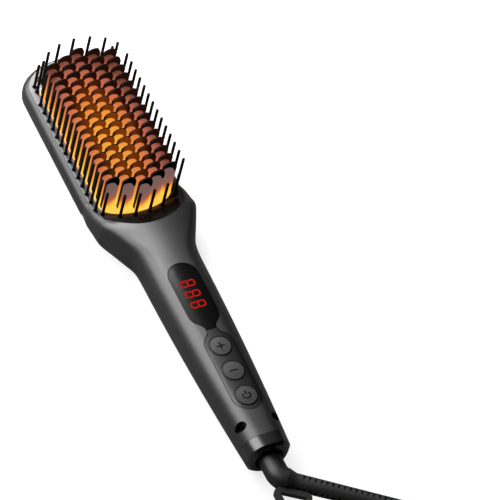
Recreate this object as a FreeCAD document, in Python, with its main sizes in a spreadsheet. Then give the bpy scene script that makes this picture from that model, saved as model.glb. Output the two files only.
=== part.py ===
"""Hair straightening brush: a corded, heated brush with cool guard pins, a display and three buttons.

Frame: millimetres, +Z up along the bristles, +Y towards the head tip, the flat back on Z = 0.
A station is the distance from the head tip along the brush.
"""
import FreeCAD
import Part
import math
import os

from FreeCAD import Rotation, Vector

os.makedirs("parts", exist_ok=True)
doc = FreeCAD.newDocument("hair_straightening_brush")
sheet = doc.addObject("Spreadsheet::Sheet", "Sizes")

# Driving dimensions in millimetres, counts and degrees
SIZES = {
    # casing
    "body_length": 270.5,
    "head_half": 28.4,
    "tip_depth": 18.5,
    "head_end": 94.0,
    "flare_start": 110.6,
    "flare_end": 145.0,
    "rise_end": 123.0,
    "round_end": 152.0,
    "handle_half": 16.9,
    "end_half": 11.8,
    "taper_power": 1.9,
    "face_level": 15.0,
    "handle_top": 24.0,
    "back_round": 9.0,
    "back_trim": 0.1,
    "face_round": 4.5,
    "handle_back_round": 11.4,
    "handle_front_round": 9.0,
    "wall": 2.0,
    "parting_level": 9.5,
    "parting_gap": 0.35,
    "lip_rise": 1.5,
    "lip_wall": 0.85,
    "lip_clear": 0.1,
    # bristle bed and its crescent end
    "bed_half": 25.2,
    "bed_tip_depth": 16.0,
    "bed_front_start": 104.0,
    "bed_front_depth": 18.6,
    "bed_thick": 1.2,
    "bed_clear": 0.1,
    "bed_ledge": 2.3,
    # heating plate and fins
    "plate_half": 20.9,
    "plate_tip": 12.9,
    "plate_front": 108.7,
    "plate_end_depth": 9.0,
    "plate_proud": 0.8,
    "plate_clear": 0.15,
    "flange_wide": 1.2,
    "flange_thick": 1.4,
    "fin_columns": 5,
    "fin_column_pitch": 8.3,
    "fin_row_pitch": 5.64,
    "fin_rows": 17,
    "fin_first": 107.3,
    "fin_wide": 7.4,
    "fin_thick": 2.0,
    "fin_tall": 25.0,
    "fin_bevel": 4.0,
    "fin_ridge": 0.6,
    # cool pins
    "pin_radius": 0.8,
    "pin_blunt": 0.6,
    "pin_foot_radius": 1.3,
    "pin_foot_tall": 1.3,
    "pin_peg_radius": 0.8,
    "pin_clear": 0.05,
    "pin_tall": 27.0,
    "short_pin_tall": 19.0,
    "pin_column": 23.5,
    "pin_pitch": 5.64,
    "pin_side_count": 14,
    "pin_first": 101.3,
    "pin_arc_count": 7,
    "pin_arc_tip": 10.2,
    "front_arc_depth": 10.7,
    "front_arc_pins": 6,
    "front_pin_pitch": 8.3,
    "corner_pin_across": 21.6,
    "corner_pin_station": 15.6,
    # heater stack
    "heater_long": 78.0,
    "heater_wide": 24.0,
    "heater_thick": 1.3,
    "clamp_thick": 0.8,
    "clamp_wide": 30.0,
    "clamp_long": 70.0,
    "mica_thick": 0.5,
    "heater_station": 60.0,
    "sensor_radius": 1.5,
    "sensor_long": 6.0,
    "fuse_radius": 1.75,
    "fuse_long": 10.0,
    "heater_rib_wide": 2.0,
    "heater_rib_long": 40.0,
    # ion outlet
    "ion_station": 114.2,
    "ion_long": 8.4,
    "ion_wide": 3.8,
    "ion_slit": 0.8,
    "ion_slit_pitch": 2.2,
    "ion_box_long": 20.0,
    "ion_box_wide": 13.0,
    "ion_box_tall": 8.0,
    "ion_box_station": 134.0,
    # screws
    "head_screw_across": 17.7,
    "head_screw_tip": 11.7,
    "head_screw_front_across": 21.2,
    "head_screw_front": 108.6,
    "screw_head_radius": 1.7,
    "screw_head_tall": 0.7,
    "screw_shank_radius": 0.9,
    "screw_long": 7.0,
    "screw_recess_radius": 1.9,
    "post_radius": 2.6,
    "case_screw_across": 10.0,
    "case_screw_inset": 17.0,
    "case_recess_radius": 2.6,
    "case_head_radius": 2.3,
    "case_head_tall": 1.6,
    "case_recess_floor": 15.5,
    "case_screw_long": 6.5,
    # control panel
    "panel_top_station": 151.3,
    "panel_end_station": 246.8,
    "panel_neck_station": 194.8,
    "window_wide": 17.6,
    "button_pill_wide": 16.8,
    "panel_neck_wide": 6.4,
    "panel_neck_round": 4.5,
    "panel_thick": 1.5,
    "panel_sink": 0.3,
    "panel_clear": 0.15,
    "panel_ledge": 1.3,
    # buttons
    "button_station": 222.0,
    "button_pitch": 16.0,
    "button_radius": 5.9,
    "button_clear": 0.3,
    "button_proud": 0.1,
    "button_flange": 0.7,
    "button_flange_thick": 0.6,
    "button_stem_radius": 2.0,
    "button_travel": 0.5,
    "button_rest_gap": 0.1,
    "button_edge": 0.5,
    # control board
    "board_inset": 0.75,
    "board_wide": 15.0,
    "board_thick": 1.6,
    "board_level": 15.6,
    "switch_wide": 6.0,
    "switch_tall": 3.4,
    "display_long": 26.0,
    "display_wide": 12.0,
    "display_station": 171.6,
    "board_post_across": 5.0,
    "board_post_inset": 4.0,
    "board_screw_head_radius": 1.6,
    "board_screw_head_tall": 0.9,
    "power_board_long": 44.0,
    "power_board_level": 6.0,
    "power_board_station": 205.0,
    "triac_long": 10.0,
    "triac_tall": 4.5,
    "capacitor_radius": 3.2,
    "capacitor_long": 12.0,
    # end cap and swivel
    "cap_long": 8.2,
    "cap_gap": 0.2,
    "cap_edge": 1.5,
    "cap_bore": 7.9,
    "cap_recess": 3.2,
    "spigot_long": 3.2,
    "spigot_clear": 0.15,
    "bush_long": 3.6,
    "shaft_radius": 5.0,
    "shaft_clear": 0.06,
    "collar_radius": 7.2,
    "collar_thick": 1.6,
    "collar_gap": 0.1,
    "tail_radius": 2.6,
    "tail_long": 12.0,
    "ring_radius": 3.4,
    "ring_long": 2.6,
    "ring_pitch": 5.0,
    "brush_wide": 2.2,
    "brush_thick": 0.4,
    "brush_clear": 0.1,
    "carrier_wall": 1.6,
    "carrier_depth": 9.0,
    # strain relief
    "elbow_radius": 6.2,
    "elbow_out": 8.6,
    "elbow_bend": 7.6,
    "elbow_angle": 55.0,
    "sleeve_long": 70.0,
    "sleeve_radius": 4.7,
    "sleeve_end_radius": 4.1,
    "sleeve_bore": 3.1,
    "sleeve_shoulder": 4.0,
    "sleeve_slots": 19,
    "sleeve_slot_rows": 4,
    "sleeve_slot_pitch": 3.05,
    "sleeve_slot_long": 1.1,
    "sleeve_slot_wide": 2.6,
    "sleeve_slot_deep": 1.0,
    "sleeve_slot_first": 6.0,
    "loop_left": 7.0,
    "loop_right": 12.0,
    "loop_end_right": 3.0,
    "loop_root_left": 14.9,
    "loop_root_right": 27.3,
    "loop_end": 40.9,
    "loop_bar": 3.2,
    "loop_thick": 3.0,
    "loop_round": 3.4,
}

for row, (alias, value) in enumerate(SIZES.items(), start=1):
    sheet.set("A%d" % row, alias)
    sheet.set("B%d" % row, repr(value))
    sheet.setAlias("B%d" % row, alias)
doc.recompute()


def size(alias):
    """Value of one named cell of the sheet."""
    return float(sheet.get(alias))


def along(station):
    """Y of a station measured from the head tip."""
    return size("body_length") / 2 - station


HANDLE_AXIS = size("handle_top") / 2
BED_SEAT = size("face_level") - size("bed_thick")
PLATE_TOP = size("face_level") + size("plate_proud")
FLANGE_LOW = BED_SEAT - size("flange_thick")
CAP_START = size("body_length") - size("cap_long")
FAR = 4 * size("body_length")


# Small helpers for the document's objects
def feature(label, shape):
    """Sub-part whose shape is set by code."""
    item = doc.addObject("Part::Feature", label)
    item.Label = label
    item.Shape = shape
    item.Placement = shape.Placement
    return item


def primitive(kind, name, **cells):
    """Part primitive whose properties are bound to expressions."""
    item = doc.addObject("Part::" + kind, name)
    for key, text in cells.items():
        item.setExpression(key.replace("__", "."), text)
    return item


def at(item, across="0", station="0", level="0"):
    """Place an object by expressions for X, station and Z."""
    item.setExpression("Placement.Base.x", across)
    item.setExpression("Placement.Base.y", "Sizes.body_length / 2 - (%s)" % station)
    item.setExpression("Placement.Base.z", level)
    return item


def lying(item):
    """Turn a primitive so that its axis points to the head tip."""
    item.Placement = FreeCAD.Placement(Vector(), Rotation(Vector(1, 0, 0), -90))
    return item


def fused(label, *items):
    """Union of objects under one label."""
    item = doc.addObject("Part::MultiFuse", label)
    item.Shapes = list(items)
    item.Label = label
    return item


def trimmed(label, base, *tools):
    """Base with every tool cut away."""
    if len(tools) == 1:
        tool = tools[0]
    else:
        tool = fused(label + "_tools", *tools)
    item = doc.addObject("Part::Cut", label)
    item.Base = base
    item.Tool = tool
    item.Label = label
    return item


# Casing form
def s_curve(value, low, high):
    """Smooth share from 0 at low to 1 at high."""
    share = min(max((value - low) / (high - low), 0.0), 1.0)
    return share * share * (3 - 2 * share)


def half_width(station):
    """Half the width of the casing at a station."""
    flare = s_curve(station, size("flare_start"), size("flare_end"))
    half = size("head_half") + (size("handle_half") - size("head_half")) * flare
    run = max(station - size("flare_end"), 0.0) / (size("body_length") - size("flare_end"))
    return half - (size("handle_half") - size("end_half")) * run ** size("taper_power")


def rise(station):
    """Share of the way from the head face up to the handle top."""
    return s_curve(station, size("head_end"), size("rise_end"))


def between(low, high, share):
    """Value at a share of the way from low to high."""
    return low + (high - low) * share


def section(station, inset):
    """Closed rounded section across the casing, drawn in from its skin by the inset."""
    half = half_width(station) - inset
    low = inset - size("back_trim")
    high = between(size("face_level"), size("handle_top"), rise(station)) - inset
    back = between(size("back_round"), size("handle_back_round"), rise(station)) - inset
    easing = s_curve(station, size("rise_end"), size("round_end"))
    front = between(size("face_round"), size("handle_front_round"), easing) - inset
    y = along(station)
    diagonal = 1 - math.sqrt(0.5)

    def corner(first, round_x, round_z, last):
        return Part.Arc(first, Vector(round_x, y, round_z), last).toShape()

    points = [
        Vector(-half + back, y, low), Vector(half - back, y, low),
        Vector(half, y, low + back), Vector(half, y, high - front),
        Vector(half - front, y, high), Vector(-half + front, y, high),
        Vector(-half, y, high - front), Vector(-half, y, low + back),
    ]
    inner_back = back * diagonal
    inner_front = front * diagonal
    edges = [
        Part.makeLine(points[0], points[1]),
        corner(points[1], half - inner_back, low + inner_back, points[2]),
        Part.makeLine(points[2], points[3]),
        corner(points[3], half - inner_front, high - inner_front, points[4]),
        Part.makeLine(points[4], points[5]),
        corner(points[5], -half + inner_front, high - inner_front, points[6]),
        Part.makeLine(points[6], points[7]),
        corner(points[7], -half + inner_back, low + inner_back, points[0]),
    ]
    return Part.Wire(edges)


def half_ellipse(half, depth, station, towards):
    """Edge from +X to -X that bulges by the depth to the tip (1) or to the handle (-1)."""
    centre = Vector(0, along(station), 0)
    side = Vector(half, 0, 0)
    end = Vector(0, depth * towards, 0)
    if abs(depth - half) < 1e-6:
        return Part.Arc(centre + side, centre + end, centre - side).toShape()
    if depth > half:
        ellipse = Part.Ellipse(centre + end, centre + side, centre)
    else:
        ellipse = Part.Ellipse(centre + side, centre + end, centre)
    first = ellipse.parameter(centre + side)
    last = ellipse.parameter(centre - side)
    if last < first:
        last += 2 * math.pi
    arc = Part.ArcOfEllipse(ellipse, first, last)
    middle = arc.value((first + last) / 2)
    if (middle.y - centre.y) * towards < 0:
        arc = Part.ArcOfEllipse(ellipse, last, first + 2 * math.pi)
    return arc.toShape()


def stadium(half, tip_station, tip_depth, front_station, front_depth, low, high):
    """Upright solid on a plan with straight sides and a half ellipse at each end."""
    tip = half_ellipse(half, tip_depth, tip_station, 1)
    front = half_ellipse(half, front_depth, front_station, -1)
    sides = []
    for side in (-half, half):
        first = Vector(side, along(tip_station), 0)
        sides.append(Part.makeLine(first, Vector(side, along(front_station), 0)))
    face = Part.Face(Part.Wire(Part.__sortEdges__([tip, front] + sides)))
    face.translate(Vector(0, 0, low))
    return face.extrude(Vector(0, 0, high - low))


def head_form(inset):
    """Head of the casing: a plan with a half-ellipse tip, rounded at the back and the face."""
    half = size("head_half") - inset
    start = size("tip_depth")
    tip = half_ellipse(half, size("tip_depth") - inset, start, 1)
    left = Vector(-half, along(start), 0)
    right = Vector(half, along(start), 0)
    left_end = Vector(-half, along(size("head_end")), 0)
    right_end = Vector(half, along(size("head_end")), 0)
    edges = [tip, Part.makeLine(left, left_end), Part.makeLine(left_end, right_end)]
    edges.append(Part.makeLine(right_end, right))
    face = Part.Face(Part.Wire(Part.__sortEdges__(edges)))
    low = inset - size("back_trim")
    high = size("face_level") - inset
    face.translate(Vector(0, 0, low))
    solid = face.extrude(Vector(0, 0, high - low))

    def outline(level):
        found = []
        for edge in solid.Edges:
            box = edge.BoundBox
            on_level = abs(box.ZMin - level) < 1e-4 and abs(box.ZMax - level) < 1e-4
            if on_level and box.YMax > along(size("head_end")) + 1e-3:
                found.append(edge)
        return found

    solid = solid.makeFillet(size("back_round") - inset, outline(low))
    return solid.makeFillet(size("face_round") - inset, outline(high))


def slab(low_station, high_station, low, high):
    """Box across the whole brush between two stations and two levels."""
    size_y = high_station - low_station
    corner = Vector(-FAR / 2, along(high_station), low)
    return Part.makeBox(FAR, size_y, high - low, corner)


def casing_form(inset):
    """Whole casing, drawn in from its skin by the inset and trimmed flat at the back."""
    start = size("head_end")
    end = size("body_length")
    steps = 26
    stations = [between(start, end, i / steps) for i in range(steps + 1)]
    handle = Part.makeLoft([section(station, inset) for station in stations], True, False)
    below = slab(-FAR, FAR, -FAR, inset)
    return head_form(inset).fuse(handle).cut(below).removeSplitter()


def upright(radius, low, high, across, station):
    """Upright round bar at one place of the plan."""
    return Part.makeCylinder(radius, high - low, Vector(across, along(station), low))


def pill(half, first, last, low, high):
    """Upright solid on a pill-shaped plan whose round ends are centred on two stations."""
    return stadium(half, first, half, last, half, low, high)


def keyhole(grow):
    """Display pill, button pill and the waist that runs smoothly between them, grown all round."""
    low = size("handle_top") / 2
    high = size("handle_top") * 2
    window = size("window_wide") / 2
    buttons = size("button_pill_wide") / 2
    hollow = size("panel_neck_round")
    reach = size("panel_neck_wide") / 2 + hollow
    middle = size("panel_neck_station")
    window_end = middle - math.sqrt((window + hollow) ** 2 - reach ** 2)
    buttons_start = middle + math.sqrt((buttons + hollow) ** 2 - reach ** 2)
    upper = pill(window + grow, size("panel_top_station") + window, window_end, low, high)
    lower = pill(buttons + grow, buttons_start, size("panel_end_station") - buttons, low, high)
    right = []
    left = []
    for centre, radius in ((window_end, window), (buttons_start, buttons)):
        share = (radius + grow) / (radius + hollow)
        station = between(centre, middle, share)
        right.append(Vector(reach * share, along(station), low))
        left.append(Vector(-reach * share, along(station), low))
    waist = Part.Face(Part.makePolygon(right + left[::-1] + right[:1])).extrude(Vector(0, 0, high - low))
    for side in (-1, 1):
        waist = waist.cut(upright(hollow - grow, low, high, side * reach, middle))
    return upper.fuse([lower, waist]).removeSplitter()


outer = casing_form(0.0)
bed_plan = ("bed_half", "tip_depth", "bed_tip_depth", "bed_front_start", "bed_front_depth")


def bed_block(grow, low, high):
    """Upright block on the plan of the bristle bed, grown all round."""
    half, start, tip, front, depth = [size(name) for name in bed_plan]
    return stadium(half + grow, start, tip + grow, front, depth + grow, low, high)


def plate_block(grow, low, high):
    """Upright block on the plan of the heating plate, grown all round."""
    depth = size("plate_end_depth")
    start = size("plate_tip") + depth
    front = size("plate_front") - depth
    half = size("plate_half") + grow
    return stadium(half, start, depth + grow, front, depth + grow, low, high)


def cavity(inset):
    """Room inside the casing, kept below the bristle face."""
    ceiling = size("face_level") - inset
    return casing_form(inset).cut(bed_block(inset, ceiling, 2 * size("handle_top")))


room = cavity(size("wall"))
skin = outer.cut(room)

# Front and back shells
panel_floor = size("handle_top") - size("panel_thick")
lip_top = size("parting_level") + size("lip_rise")
head_points = []
for side in (-1, 1):
    head_points.append((side * size("head_screw_across"), size("head_screw_tip")))
    head_points.append((side * size("head_screw_front_across"), size("head_screw_front")))
case_station = size("body_length") - size("case_screw_inset")
case_points = [(side * size("case_screw_across"), case_station) for side in (-1, 1)]


lip_half = size("lip_wall") + size("lip_clear")
lip_room = casing_form(size("wall") - lip_half)
front = skin.common(slab(0, CAP_START, size("parting_level") + size("parting_gap"), FAR))
front = front.cut(lip_room.common(slab(-1, FAR, 0, lip_top + size("lip_clear"))))
front = front.cut(bed_block(size("bed_clear"), BED_SEAT, FAR))
front = front.cut(bed_block(-size("bed_ledge"), 0, FAR))
front = front.cut(keyhole(0.0).common(slab(0, FAR, panel_floor, FAR)))
front = front.cut(keyhole(-size("panel_ledge")))
for across, station in head_points:
    front = front.cut(upright(size("screw_shank_radius") + size("pin_clear"), 0, FAR, across, station))
for across, station in case_points:
    front = front.cut(upright(size("case_recess_radius"), size("case_recess_floor"), FAR, across, station))
    tube = upright(size("case_recess_radius") + size("wall") / 2, lip_top, FAR, across, station)
    bore = upright(size("case_recess_radius"), size("case_recess_floor"), FAR, across, station)
    shank = upright(size("screw_shank_radius") + size("pin_clear"), 0, FAR, across, station)
    front = front.fuse(tube.common(room).cut(bore)).cut(shank)
front = front.removeSplitter()
feature("front_shell", front)

post_room = casing_form(size("wall") + size("lip_clear") + size("lip_wall"))
back = outer.common(slab(-1, CAP_START, -1, size("parting_level")))
lip_form = casing_form(size("wall") - size("lip_wall"))
lip = lip_form.common(slab(-1, CAP_START, size("parting_level") - size("lip_rise"), lip_top))
back = back.fuse(lip).cut(room)


def post(top, across, station):
    """Screw post from the back wall, kept clear of the front shell above the parting."""
    whole = upright(size("post_radius"), size("wall") / 2, top, across, station)
    split = size("parting_level") - size("lip_rise")
    lower = whole.common(outer).common(slab(-FAR, FAR, 0, split))
    return lower.fuse(whole.common(post_room).common(slab(-FAR, FAR, split, FAR))).removeSplitter()


head_post_top = size("face_level") - size("wall")
for across, station in head_points:
    hole = upright(size("screw_shank_radius"), head_post_top - size("screw_long"), FAR, across, station)
    back = back.fuse(post(head_post_top, across, station)).cut(hole)
for across, station in case_points:
    hole = upright(size("screw_shank_radius"), lip_top - size("case_screw_long"), FAR, across, station)
    back = back.fuse(post(lip_top, across, station)).cut(hole)

# Posts for the control board and ledges for the power board and the heater stack
board_middle = (size("panel_top_station") + size("panel_end_station")) / 2
board_long = size("panel_end_station") - size("panel_top_station") - 2 * size("board_inset")
board_reach = board_long / 2 - size("board_post_inset")
board_points = []
for side in (-1, 1):
    for end in (-1, 1):
        board_points.append((side * size("board_post_across"), board_middle + end * board_reach))
for across, station in board_points:
    hole = upright(size("screw_shank_radius"), size("board_level") - size("screw_long"), FAR, across, station)
    back = back.fuse(post(size("board_level"), across, station)).cut(hole)
STACK_LOW = FLANGE_LOW - size("heater_thick") - size("clamp_thick") - size("mica_thick")


def block(wide, long, low, high, across, station):
    """Box centred on one place of the plan."""
    corner = Vector(across - wide / 2, along(station) - long / 2, low)
    return Part.makeBox(wide, long, high - low, corner)


for side in (-1, 1):
    rib_across = side * size("clamp_wide") / 3
    rib = block(size("heater_rib_wide"), size("heater_rib_long"), size("wall") / 2, STACK_LOW,
                rib_across, size("heater_station"))
    back = back.fuse(rib)
    rail_across = side * size("board_wide") / 3
    rail = block(size("heater_rib_wide"), size("power_board_long") / 2, size("wall") / 2,
                 size("power_board_level"), rail_across, size("power_board_station"))
    back = back.fuse(rail)
back = back.removeSplitter()
feature("back_shell", back)

# Bristle bed with its holes for plate, pins, screws and ion outlet
bed = bed_block(0.0, BED_SEAT, size("face_level"))
bed = bed.cut(plate_block(size("plate_clear"), 0, FAR))


def ion_block(grow, low, high):
    """Oval of the ion outlet, its long side across the brush."""
    half = size("ion_wide") / 2 + grow
    reach = size("ion_long") / 2 - size("ion_wide") / 2
    middle = block(2 * reach, 2 * half, low, high, 0, size("ion_station"))
    for side in (-1, 1):
        middle = middle.fuse(upright(half, low, high, side * reach, size("ion_station")))
    return middle.removeSplitter()


bed = bed.cut(ion_block(size("bed_clear"), 0, FAR))
recess_floor = size("face_level") - size("screw_head_tall") - size("bed_clear")
for across, station in head_points:
    bed = bed.cut(upright(size("screw_recess_radius"), recess_floor, FAR, across, station))
    bed = bed.cut(upright(size("screw_shank_radius") + size("pin_clear"), 0, FAR, across, station))

# Places of the cool pins: two side columns, the tip arc, the front arc and two tip corners
long_pins = []
for side in (-1, 1):
    for i in range(int(size("pin_side_count"))):
        long_pins.append((side * size("pin_column"), size("pin_first") - i * size("pin_pitch")))
arc_start = size("pin_first") - size("pin_side_count") * size("pin_pitch")
arc_depth = arc_start + size("pin_pitch") / 2 - size("pin_arc_tip")
for i in range(int(size("pin_arc_count"))):
    turn = math.pi * (i + 1) / (size("pin_arc_count") + 1)
    station = size("pin_arc_tip") + arc_depth * (1 - math.sin(turn))
    long_pins.append((size("pin_column") * math.cos(turn), station))
short_pins = [(side * size("corner_pin_across"), size("corner_pin_station")) for side in (-1, 1)]
front_start = size("plate_front") - size("plate_end_depth")
for i in range(int(size("front_arc_pins"))):
    across = (i - (size("front_arc_pins") - 1) / 2) * size("front_pin_pitch")
    share = math.sqrt(1 - min(across / size("pin_column"), 1) ** 2)
    short_pins.append((across, front_start + size("front_arc_depth") * share))
peg_hole = size("pin_peg_radius") + size("pin_clear")
peg_holes = [upright(peg_hole, 0, FAR, across, station) for across, station in long_pins + short_pins]
feature("bristle_bed", bed.cut(Part.makeCompound(peg_holes)))


def cool_pin(tall, across, station):
    """Guard pin: peg in the bed, flared foot, slim shaft and blunt tip."""
    level = size("face_level")
    top = level + tall
    radius = size("pin_radius")
    blunt = size("pin_blunt")
    outline = [
        Vector(0, 0, BED_SEAT), Vector(size("pin_peg_radius"), 0, BED_SEAT),
        Vector(size("pin_peg_radius"), 0, level), Vector(size("pin_foot_radius"), 0, level),
        Vector(radius, 0, level + size("pin_foot_tall")), Vector(radius, 0, top - blunt),
        Vector(radius - blunt, 0, top), Vector(0, 0, top), Vector(0, 0, BED_SEAT),
    ]
    solid = Part.Face(Part.makePolygon(outline)).revolve(Vector(), Vector(0, 0, 1), 360)
    solid.translate(Vector(across, along(station), 0))
    return solid


feature("cool_pins", Part.makeCompound([cool_pin(size("pin_tall"), *place) for place in long_pins]))
feature("short_pins", Part.makeCompound([cool_pin(size("short_pin_tall"), *p) for p in short_pins]))

# Heating plate with its flange under the bed
plate = plate_block(0.0, FLANGE_LOW, PLATE_TOP)
plate = plate.fuse(plate_block(size("flange_wide"), FLANGE_LOW, BED_SEAT)).removeSplitter()
feature("heating_plate", plate)


def heating_fin(across, station):
    """Upright blade across the brush with an arched top that is bevelled to a ridge."""
    half = size("fin_wide") / 2
    thick = size("fin_thick") / 2
    top = PLATE_TOP + size("fin_tall")
    spring = top - half
    arch = Part.Wire([
        Part.makeLine(Vector(-half, -thick, spring), Vector(-half, -thick, PLATE_TOP)),
        Part.makeLine(Vector(-half, -thick, PLATE_TOP), Vector(half, -thick, PLATE_TOP)),
        Part.makeLine(Vector(half, -thick, PLATE_TOP), Vector(half, -thick, spring)),
        Part.Arc(Vector(half, -thick, spring), Vector(0, -thick, top), Vector(-half, -thick, spring)).toShape(),
    ])
    blade = Part.Face(arch).extrude(Vector(0, 2 * thick, 0))
    ridge = size("fin_ridge") / 2
    bevel = top - size("fin_bevel")
    side = [
        Vector(-half, -thick, PLATE_TOP), Vector(-half, -thick, bevel), Vector(-half, -ridge, top),
        Vector(-half, ridge, top), Vector(-half, thick, bevel), Vector(-half, thick, PLATE_TOP),
        Vector(-half, -thick, PLATE_TOP),
    ]
    wedge = Part.Face(Part.makePolygon(side)).extrude(Vector(2 * half, 0, 0))
    solid = blade.common(wedge).Solids[0]
    solid.translate(Vector(across, along(station), 0))
    return solid


fins = []
columns = int(size("fin_columns"))
for column in range(columns):
    off = column - (columns - 1) / 2
    step = abs(off)
    for row in range(int(size("fin_rows") - step)):
        station = size("fin_first") - size("fin_thick") / 2
        station -= (row + step / 2) * size("fin_row_pitch")
        fins.append(heating_fin(off * size("fin_column_pitch"), station))
feature("heating_fins", Part.makeCompound(fins))

# Heater stack under the plate
heater_middle = "Sizes.heater_station + Sizes.heater_long / 2"
low = "Sizes.face_level - Sizes.bed_thick - Sizes.flange_thick"
heater = primitive("Box", "ceramic_heater", Length="Sizes.heater_wide", Width="Sizes.heater_long",
                   Height="Sizes.heater_thick")
at(heater, "-Sizes.heater_wide / 2", heater_middle, low + " - Sizes.heater_thick")
clamp = primitive("Box", "heater_clamp", Length="Sizes.clamp_wide", Width="Sizes.clamp_long",
                  Height="Sizes.clamp_thick")
clamp_station = "Sizes.heater_station + Sizes.clamp_long / 2"
at(clamp, "-Sizes.clamp_wide / 2", clamp_station, low + " - Sizes.heater_thick - Sizes.clamp_thick")
mica = primitive("Box", "mica_sheet", Length="Sizes.clamp_wide", Width="Sizes.clamp_long",
                 Height="Sizes.mica_thick")
stack_low = low + " - Sizes.heater_thick - Sizes.clamp_thick - Sizes.mica_thick"
at(mica, "-Sizes.clamp_wide / 2", clamp_station, stack_low)
fuse_link = lying(primitive("Cylinder", "thermal_fuse", Radius="Sizes.fuse_radius", Height="Sizes.fuse_long"))
at(fuse_link, "0", "Sizes.heater_station + Sizes.fuse_long / 2", stack_low + " - Sizes.fuse_radius")
sensor = lying(primitive("Cylinder", "heat_sensor", Radius="Sizes.sensor_radius", Height="Sizes.sensor_long"))
at(sensor, "0", "Sizes.heater_station + Sizes.clamp_long / 3 + Sizes.sensor_long / 2",
   stack_low + " - Sizes.sensor_radius")

# Ion outlet and generator
grille = ion_block(0.0, BED_SEAT, size("face_level"))
for i in range(3):
    slit_across = (i - 1) * size("ion_slit_pitch")
    slit = block(size("ion_slit"), size("ion_wide") * 0.7, 0, FAR, slit_across, size("ion_station"))
    grille = grille.cut(slit)
feature("ion_grille", grille)
ion_box = primitive("Box", "ion_generator", Length="Sizes.ion_box_wide", Width="Sizes.ion_box_long",
                    Height="Sizes.ion_box_tall")
at(ion_box, "-Sizes.ion_box_wide / 2", "Sizes.ion_box_station + Sizes.ion_box_long / 2", "Sizes.wall")


# Screws
def screw(head_radius, head_tall, long, across, station, seat):
    """Pan-head screw whose head sits on the seat level."""
    head = upright(head_radius, seat, seat + head_tall, across, station)
    shank = upright(size("screw_shank_radius") - size("pin_clear"), seat - long, seat, across, station)
    return head.fuse(shank).removeSplitter()


head_reach = recess_floor - head_post_top + size("screw_long") - size("bed_clear")
head_screws = [screw(size("screw_head_radius"), size("screw_head_tall"), head_reach, x, t, recess_floor)
               for x, t in head_points]
feature("head_screws", Part.makeCompound(head_screws))
case_reach = size("case_recess_floor") - lip_top + size("case_screw_long") - size("bed_clear")
case_screws = [screw(size("case_head_radius"), size("case_head_tall"), case_reach, x, t,
                     size("case_recess_floor")) for x, t in case_points]
feature("case_screws", Part.makeCompound(case_screws))
board_top = size("board_level") + size("board_thick")
board_reach_down = size("board_thick") + size("screw_long") - size("bed_clear")
board_screws = [screw(size("board_screw_head_radius"), size("board_screw_head_tall"), board_reach_down,
                      x, t, board_top) for x, t in board_points]
feature("board_screws", Part.makeCompound(board_screws))

# Display window and button panel, a little below the skin of the handle
face = casing_form(size("panel_sink"))
panel_form = face.common(keyhole(-size("panel_clear"))).common(slab(0, FAR, panel_floor, FAR))
seam = size("panel_neck_station")
feature("display_window", panel_form.common(slab(0, seam - size("panel_clear") / 2, 0, FAR)))
panel = panel_form.common(slab(seam + size("panel_clear") / 2, FAR, 0, FAR))
button_names = ("plus_button", "minus_button", "power_button")
button_stations = [size("button_station") + (i - 1) * size("button_pitch") for i in range(3)]
for station in button_stations:
    panel = panel.cut(upright(size("button_radius") + size("button_clear"), 0, FAR, 0, station))
feature("button_panel", panel)

# Control board with switches, display module and power board
board_end = "(Sizes.panel_end_station - Sizes.panel_top_station) / 2 - Sizes.board_inset"
board = primitive("Box", "board_blank", Length="Sizes.board_wide", Width="2 * (%s)" % board_end,
                  Height="Sizes.board_thick")
board_mid = "(Sizes.panel_top_station + Sizes.panel_end_station) / 2"
at(board, "-Sizes.board_wide / 2", board_mid + " + " + board_end, "Sizes.board_level")
holes = []
for side in ("-", "+"):
    for end in ("-", "+"):
        hole = primitive("Cylinder", "board_hole", Radius="Sizes.screw_shank_radius + Sizes.pin_clear",
                         Height="2 * Sizes.board_thick")
        reach = "(%s - Sizes.board_post_inset)" % board_end
        at(hole, side + "Sizes.board_post_across", board_mid + end + reach,
           "Sizes.board_level - Sizes.board_thick / 2")
        holes.append(hole)
trimmed("control_board", board, *holes)
switches = []
for i in (-1, 0, 1):
    switch = primitive("Box", "switch", Length="Sizes.switch_wide", Width="Sizes.switch_wide",
                       Height="Sizes.switch_tall")
    place = "Sizes.button_station + %d * Sizes.button_pitch + Sizes.switch_wide / 2" % i
    at(switch, "-Sizes.switch_wide / 2", place, "Sizes.board_level + Sizes.board_thick")
    switches.append(switch)
group = doc.addObject("Part::Compound", "tact_switches")
group.Links = switches
group.Label = "tact_switches"
display = primitive("Box", "display_module", Length="Sizes.display_wide", Width="Sizes.display_long",
                    Height="Sizes.handle_top - Sizes.panel_thick - Sizes.board_level - Sizes.board_thick")
at(display, "-Sizes.display_wide / 2", "Sizes.display_station + Sizes.display_long / 2",
   "Sizes.board_level + Sizes.board_thick")
power = primitive("Box", "power_board", Length="Sizes.board_wide", Width="Sizes.power_board_long",
                  Height="Sizes.board_thick")
at(power, "-Sizes.board_wide / 2", "Sizes.power_board_station + Sizes.power_board_long / 2",
   "Sizes.power_board_level")
triac = primitive("Box", "triac", Length="Sizes.triac_long", Width="Sizes.triac_long",
                  Height="Sizes.triac_tall")
at(triac, "-Sizes.triac_long / 2", "Sizes.power_board_station + Sizes.power_board_long / 4",
   "Sizes.power_board_level + Sizes.board_thick")
capacitor = lying(primitive("Cylinder", "capacitor", Radius="Sizes.capacitor_radius",
                            Height="Sizes.capacitor_long"))
at(capacitor, "0", "Sizes.power_board_station - Sizes.power_board_long / 4 + Sizes.capacitor_long / 2",
   "Sizes.power_board_level + Sizes.board_thick + Sizes.capacitor_radius")


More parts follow.
